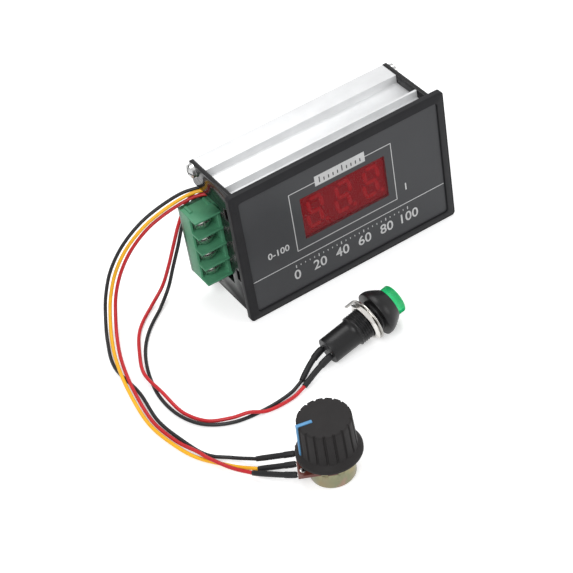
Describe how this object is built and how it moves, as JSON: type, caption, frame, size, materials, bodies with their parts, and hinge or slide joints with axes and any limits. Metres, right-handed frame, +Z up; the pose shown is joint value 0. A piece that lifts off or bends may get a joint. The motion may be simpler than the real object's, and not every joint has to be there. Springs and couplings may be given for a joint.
{
  "type": "panel-mount DC motor speed controller",
  "caption": "Panel-mount motor speed controller: bezelled display box with a screw terminal block, wired to a rotary dial with a ribbed knob and to a round push button.",
  "frame": {"origin": "middle of the box's bottom edge at the rear face of the front flange, on the surface that the box stands on", "axes": "+X along the panel to the right as seen from the front, +Y from the front panel into the box, +Z up"},
  "size_m": [0.153, 0.1328, 0.0595],
  "materials": {
    "black_plastic": "satin moulded",
    "overlay_grey": "printed film",
    "window_red": "red filter, glossy",
    "aluminium_satin": "brushed along its length",
    "plate_black": "black satin",
    "sheet_black": "insulating sheet",
    "steel_bright": "zinc plated",
    "board_green": "solder mask",
    "contact_brass": "bare",
    "part_black": "moulded package",
    "segment_red": "unlit segments",
    "pad_grey": "silicone pad",
    "capacitor_blue": "shrink sleeve",
    "plug_white": "moulded",
    "block_green": "moulded, satin",
    "contact_tin": "tin plated",
    "can_zinc": "yellow passivated zinc",
    "tag_board_brown": "phenolic board",
    "carbon_black": "carbon film",
    "knob_black": "moulded, satin",
    "pointer_blue": "moulded insert",
    "button_black": "moulded, glossy",
    "nickel_bright": "nickel plated",
    "cap_green": "moulded",
    "white_plastic": "moulded",
    "spring_steel": "bare wire",
    "wire_yellow": "PVC insulation",
    "wire_red": "PVC insulation",
    "wire_black": "PVC insulation",
    "sleeve_black": "heat-shrink sleeve"
  },
  "bodies": {
    "controller": {"front_bezel": "black_plastic", "front_overlay": "overlay_grey", "display_window": "window_red", "top_extrusion": "aluminium_satin", "base_rail": "aluminium_satin", "left_end_plate": "plate_black", "right_end_plate": "plate_black", "rear_sheet": "sheet_black", "end_plate_screws": "steel_bright", "power_board": "board_green", "control_board": "board_green", "board_screws": "steel_bright", "link_pins": "contact_brass", "link_blocks": "part_black", "display_module": "part_black", "display_segments": "segment_red", "power_transistor_1": "part_black", "power_transistor_2": "part_black", "flyback_diode": "part_black", "insulating_pads": "pad_grey", "tab_screws": "steel_bright", "bulk_capacitors": "capacitor_blue", "voltage_regulator": "part_black", "microcontroller": "part_black", "chip_resistors": "part_black", "dial_plug": "plug_white", "button_plug": "plug_white", "terminal_block": "block_green", "terminal_contacts": "contact_tin", "clamp_washers": "contact_tin", "dial_can": "can_zinc", "dial_tag_board": "tag_board_brown", "dial_track": "carbon_black", "dial_lugs": "contact_tin", "dial_front": "steel_bright", "dial_nut": "steel_bright", "button_housing": "button_black", "button_nut": "nickel_bright", "button_washer": "nickel_bright", "button_spring": "spring_steel", "button_terminals": "contact_tin", "button_end_plug": "black_plastic", "dial_wire_yellow": "wire_yellow", "dial_wire_red": "wire_red", "dial_wire_black": "wire_black", "button_wire_red": "wire_red", "button_wire_black": "wire_black", "dial_sleeves": "sleeve_black", "button_sleeves": "sleeve_black"},
    "knob_and_shaft": {"knob": "knob_black", "knob_pointer": "pointer_blue", "dial_shaft": "steel_bright", "dial_wiper": "contact_brass"},
    "button_cap_and_plunger": {"button_cap": "cap_green", "button_plunger": "white_plastic", "button_contact": "contact_brass"},
    "clamp_screw_1": {"clamp_screw_1": "steel_bright"},
    "clamp_screw_2": {"clamp_screw_2": "steel_bright"},
    "clamp_screw_3": {"clamp_screw_3": "steel_bright"},
    "clamp_screw_4": {"clamp_screw_4": "steel_bright"}
  },
  "joints": [
    {"name": "knob_turn", "type": "hinge", "parent": "controller", "child": "knob_and_shaft", "pos_m": [-0.066, -0.0853, 0.01065], "axis": [0, 0, 1], "range_deg": [-300, 0]},
    {"name": "button_press", "type": "slide", "parent": "controller", "child": "button_cap_and_plunger", "axis": [-0.9841, -0.0619, -0.1665], "range_m": [0, 0.0025], "stiffness_N_per_m": 400, "springref_m": -0.002, "deforming": ["button_spring"]},
    {"name": "clamp_screw_1_turn", "type": "hinge", "parent": "controller", "child": "clamp_screw_1", "pos_m": [-0.04925, 0.0151, 0.0146], "axis": [0, 1, 0], "range_deg": [-1440, 0]},
    {"name": "clamp_screw_2_turn", "type": "hinge", "parent": "controller", "child": "clamp_screw_2", "pos_m": [-0.04925, 0.0151, 0.0221], "axis": [0, 1, 0], "range_deg": [-1440, 0]},
    {"name": "clamp_screw_3_turn", "type": "hinge", "parent": "controller", "child": "clamp_screw_3", "pos_m": [-0.04925, 0.0151, 0.0296], "axis": [0, 1, 0], "range_deg": [-1440, 0]},
    {"name": "clamp_screw_4_turn", "type": "hinge", "parent": "controller", "child": "clamp_screw_4", "pos_m": [-0.04925, 0.0151, 0.0371], "axis": [0, 1, 0], "range_deg": [-1440, 0]}
  ]
}
